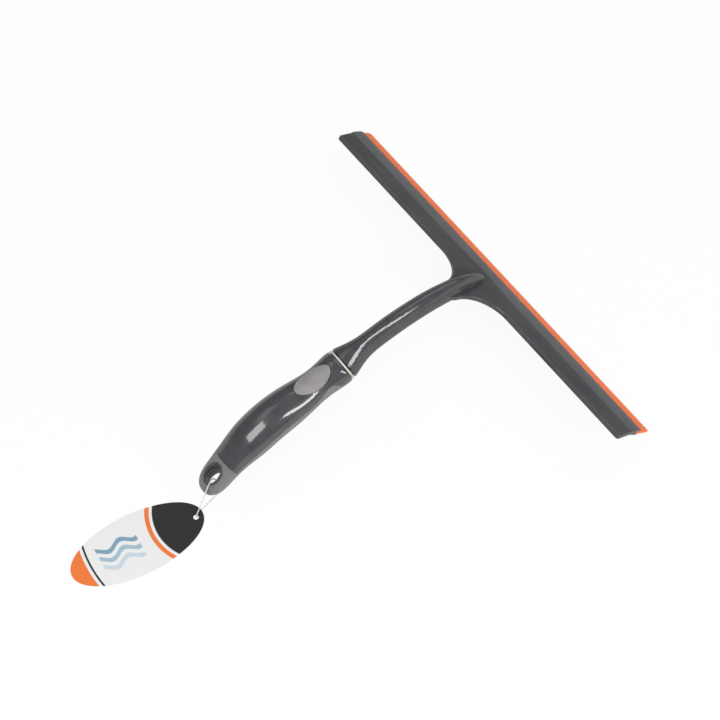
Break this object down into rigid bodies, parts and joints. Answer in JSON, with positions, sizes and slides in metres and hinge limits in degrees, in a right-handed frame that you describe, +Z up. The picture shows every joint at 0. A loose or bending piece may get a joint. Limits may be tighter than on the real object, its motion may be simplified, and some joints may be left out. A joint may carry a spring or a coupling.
{
  "type": "window squeegee",
  "caption": "Hand window squeegee: straight head with a slide-in rubber blade, arched neck, soft-grip handle with a thumb pad, a hanging eyelet and a hang tag on a clear loop.",
  "frame": {"origin": "on the table under the middle of the tool, which lies on its blade edge and the tail of its handle", "axes": "+X along the blade, +Y from the handle's tail towards the blade, +Z up"},
  "size_m": [0.3, 0.3678, 0.0626],
  "materials": {
    "body_plastic": "dark grey moulded plastic, glossy",
    "blade_orange": "orange wiping rubber",
    "collar_cream": "cream plastic",
    "grip_grey": "light grey soft grip rubber",
    "eyelet_dark": "dark grey moulded plastic",
    "tag_card": "printed card, white with a dark end and an orange end",
    "loop_clear": "clear nylon"
  },
  "bodies": {
    "handle": {"head_frame": "body_plastic", "collar_ring": "collar_cream", "handle_body": "body_plastic", "soft_grip": "grip_grey", "thumb_pad": "grip_grey", "hanging_eyelet": "eyelet_dark", "tag_loop": "loop_clear", "loop_lock": "loop_clear"},
    "blade": {"blade_rubber": "blade_orange"},
    "tag": {"hang_tag": "tag_card"}
  },
  "joints": [
    {"name": "blade_slide", "type": "slide", "parent": "handle", "child": "blade", "axis": [1, 0, 0], "range_m": [0, 0.305]},
    {"name": "tag_swing", "type": "hinge", "parent": "handle", "child": "tag", "pos_m": [0.0112, -0.1462, 0.0012], "axis": [0, 0, 1], "range_deg": [-60, 60]}
  ]
}
